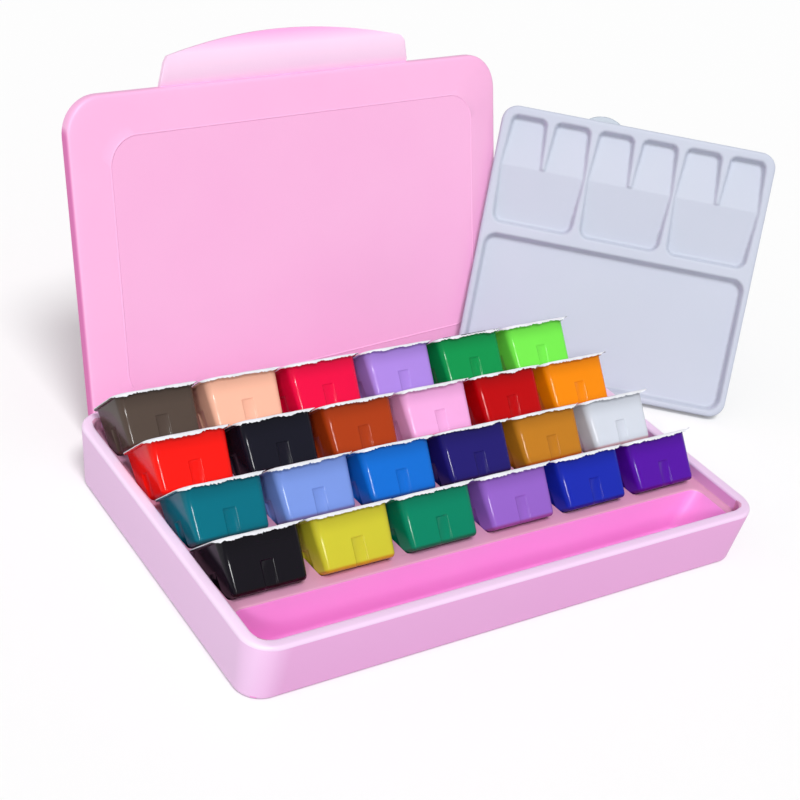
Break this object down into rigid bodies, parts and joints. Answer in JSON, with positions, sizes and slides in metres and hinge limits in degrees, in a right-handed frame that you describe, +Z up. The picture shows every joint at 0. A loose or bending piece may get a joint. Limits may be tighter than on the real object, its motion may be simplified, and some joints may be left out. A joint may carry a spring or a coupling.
{
  "type": "gouache paint set",
  "caption": "Moulded pink box of sealed gouache paint tubs leaning in stepped rows, with a brush trough, a loose lid with a grip flap and a mixing palette with ramped wells.",
  "frame": {"origin": "middle of the tray's base, on the table", "axes": "+X to the right along a row of tubs, +Y from the brush trough to the back, +Z up"},
  "size_m": [0.4903, 0.3286, 0.2242],
  "materials": {
    "tray_pink": "fine grain, satin",
    "lid_pink": "fine grain, satin",
    "palette_white": "smooth, soft gloss",
    "foil": "white lacquer, torn edge",
    "tub_black": "clear glossy wall over black paint",
    "tub_lemon": "clear glossy wall over lemon paint",
    "tub_emerald": "clear glossy wall over emerald paint",
    "tub_amethyst": "clear glossy wall over amethyst paint",
    "tub_ultramarine": "clear glossy wall over ultramarine paint",
    "tub_violet": "clear glossy wall over violet paint",
    "tub_teal": "clear glossy wall over teal paint",
    "tub_periwinkle": "clear glossy wall over periwinkle paint",
    "tub_azure": "clear glossy wall over azure paint",
    "tub_indigo": "clear glossy wall over indigo paint",
    "tub_ochre": "clear glossy wall over ochre paint",
    "tub_white": "clear glossy wall over white paint",
    "tub_scarlet": "clear glossy wall over scarlet paint",
    "tub_ink": "clear glossy wall over blue-black paint",
    "tub_rust": "clear glossy wall over red-brown paint",
    "tub_rose": "clear glossy wall over rose paint",
    "tub_madder": "clear glossy wall over deep red paint",
    "tub_orange": "clear glossy wall over orange paint",
    "tub_umber": "clear glossy wall over grey-brown paint",
    "tub_peach": "clear glossy wall over peach paint",
    "tub_crimson": "clear glossy wall over crimson paint",
    "tub_lavender": "clear glossy wall over lavender paint",
    "tub_leaf": "clear glossy wall over green paint",
    "tub_lime": "clear glossy wall over lime paint"
  },
  "bodies": {
    "tray": {"tray": "tray_pink"},
    "lid": {"lid": "lid_pink"},
    "palette": {"palette": "palette_white"},
    "tub_black": {"tub_black": "tub_black", "seal_black": "foil"},
    "tub_lemon": {"tub_lemon": "tub_lemon", "seal_lemon": "foil"},
    "tub_emerald": {"tub_emerald": "tub_emerald", "seal_emerald": "foil"},
    "tub_amethyst": {"tub_amethyst": "tub_amethyst", "seal_amethyst": "foil"},
    "tub_ultramarine": {"tub_ultramarine": "tub_ultramarine", "seal_ultramarine": "foil"},
    "tub_violet": {"tub_violet": "tub_violet", "seal_violet": "foil"},
    "tub_teal": {"tub_teal": "tub_teal", "seal_teal": "foil"},
    "tub_periwinkle": {"tub_periwinkle": "tub_periwinkle", "seal_periwinkle": "foil"},
    "tub_azure": {"tub_azure": "tub_azure", "seal_azure": "foil"},
    "tub_indigo": {"tub_indigo": "tub_indigo", "seal_indigo": "foil"},
    "tub_ochre": {"tub_ochre": "tub_ochre", "seal_ochre": "foil"},
    "tub_white": {"tub_white": "tub_white", "seal_white": "foil"},
    "tub_scarlet": {"tub_scarlet": "tub_scarlet", "seal_scarlet": "foil"},
    "tub_ink": {"tub_ink": "tub_ink", "seal_ink": "foil"},
    "tub_rust": {"tub_rust": "tub_rust", "seal_rust": "foil"},
    "tub_rose": {"tub_rose": "tub_rose", "seal_rose": "foil"},
    "tub_madder": {"tub_madder": "tub_madder", "seal_madder": "foil"},
    "tub_orange": {"tub_orange": "tub_orange", "seal_orange": "foil"},
    "tub_umber": {"tub_umber": "tub_umber", "seal_umber": "foil"},
    "tub_peach": {"tub_peach": "tub_peach", "seal_peach": "foil"},
    "tub_crimson": {"tub_crimson": "tub_crimson", "seal_crimson": "foil"},
    "tub_lavender": {"tub_lavender": "tub_lavender", "seal_lavender": "foil"},
    "tub_leaf": {"tub_leaf": "tub_leaf", "seal_leaf": "foil"},
    "tub_lime": {"tub_lime": "tub_lime", "seal_lime": "foil"}
  },
  "joints": [
    {"name": "lid_lift", "type": "slide", "parent": "tray", "child": "lid", "axis": [-0.0299, 0.2841, 0.9583], "range_m": [0, 0.26]},
    {"name": "palette_lift", "type": "slide", "parent": "tray", "child": "palette", "axis": [0.2744, 0.3317, 0.9026], "range_m": [0, 0.26]},
    {"name": "tub_black_lift", "type": "slide", "parent": "tray", "child": "tub_black", "axis": [0, -0.7193, 0.6947], "range_m": [0, 0.04]},
    {"name": "tub_lemon_lift", "type": "slide", "parent": "tray", "child": "tub_lemon", "axis": [0, -0.7193, 0.6947], "range_m": [0, 0.04]},
    {"name": "tub_emerald_lift", "type": "slide", "parent": "tray", "child": "tub_emerald", "axis": [0, -0.7193, 0.6947], "range_m": [0, 0.04]},
    {"name": "tub_amethyst_lift", "type": "slide", "parent": "tray", "child": "tub_amethyst", "axis": [0, -0.7193, 0.6947], "range_m": [0, 0.04]},
    {"name": "tub_ultramarine_lift", "type": "slide", "parent": "tray", "child": "tub_ultramarine", "axis": [0, -0.7193, 0.6947], "range_m": [0, 0.04]},
    {"name": "tub_violet_lift", "type": "slide", "parent": "tray", "child": "tub_violet", "axis": [0, -0.7193, 0.6947], "range_m": [0, 0.04]},
    {"name": "tub_teal_lift", "type": "slide", "parent": "tray", "child": "tub_teal", "axis": [0, -0.7193, 0.6947], "range_m": [0, 0.04]},
    {"name": "tub_periwinkle_lift", "type": "slide", "parent": "tray", "child": "tub_periwinkle", "axis": [0, -0.7193, 0.6947], "range_m": [0, 0.04]},
    {"name": "tub_azure_lift", "type": "slide", "parent": "tray", "child": "tub_azure", "axis": [0, -0.7193, 0.6947], "range_m": [0, 0.04]},
    {"name": "tub_indigo_lift", "type": "slide", "parent": "tray", "child": "tub_indigo", "axis": [0, -0.7193, 0.6947], "range_m": [0, 0.04]},
    {"name": "tub_ochre_lift", "type": "slide", "parent": "tray", "child": "tub_ochre", "axis": [0, -0.7193, 0.6947], "range_m": [0, 0.04]},
    {"name": "tub_white_lift", "type": "slide", "parent": "tray", "child": "tub_white", "axis": [0, -0.7193, 0.6947], "range_m": [0, 0.04]},
    {"name": "tub_scarlet_lift", "type": "slide", "parent": "tray", "child": "tub_scarlet", "axis": [0, -0.7193, 0.6947], "range_m": [0, 0.04]},
    {"name": "tub_ink_lift", "type": "slide", "parent": "tray", "child": "tub_ink", "axis": [0, -0.7193, 0.6947], "range_m": [0, 0.04]},
    {"name": "tub_rust_lift", "type": "slide", "parent": "tray", "child": "tub_rust", "axis": [0, -0.7193, 0.6947], "range_m": [0, 0.04]},
    {"name": "tub_rose_lift", "type": "slide", "parent": "tray", "child": "tub_rose", "axis": [0, -0.7193, 0.6947], "range_m": [0, 0.04]},
    {"name": "tub_madder_lift", "type": "slide", "parent": "tray", "child": "tub_madder", "axis": [0, -0.7193, 0.6947], "range_m": [0, 0.04]},
    {"name": "tub_orange_lift", "type": "slide", "parent": "tray", "child": "tub_orange", "axis": [0, -0.7193, 0.6947], "range_m": [0, 0.04]},
    {"name": "tub_umber_lift", "type": "slide", "parent": "tray", "child": "tub_umber", "axis": [0, -0.7193, 0.6947], "range_m": [0, 0.04]},
    {"name": "tub_peach_lift", "type": "slide", "parent": "tray", "child": "tub_peach", "axis": [0, -0.7193, 0.6947], "range_m": [0, 0.04]},
    {"name": "tub_crimson_lift", "type": "slide", "parent": "tray", "child": "tub_crimson", "axis": [0, -0.7193, 0.6947], "range_m": [0, 0.04]},
    {"name": "tub_lavender_lift", "type": "slide", "parent": "tray", "child": "tub_lavender", "axis": [0, -0.7193, 0.6947], "range_m": [0, 0.04]},
    {"name": "tub_leaf_lift", "type": "slide", "parent": "tray", "child": "tub_leaf", "axis": [0, -0.7193, 0.6947], "range_m": [0, 0.04]},
    {"name": "tub_lime_lift", "type": "slide", "parent": "tray", "child": "tub_lime", "axis": [0, -0.7193, 0.6947], "range_m": [0, 0.04]}
  ]
}
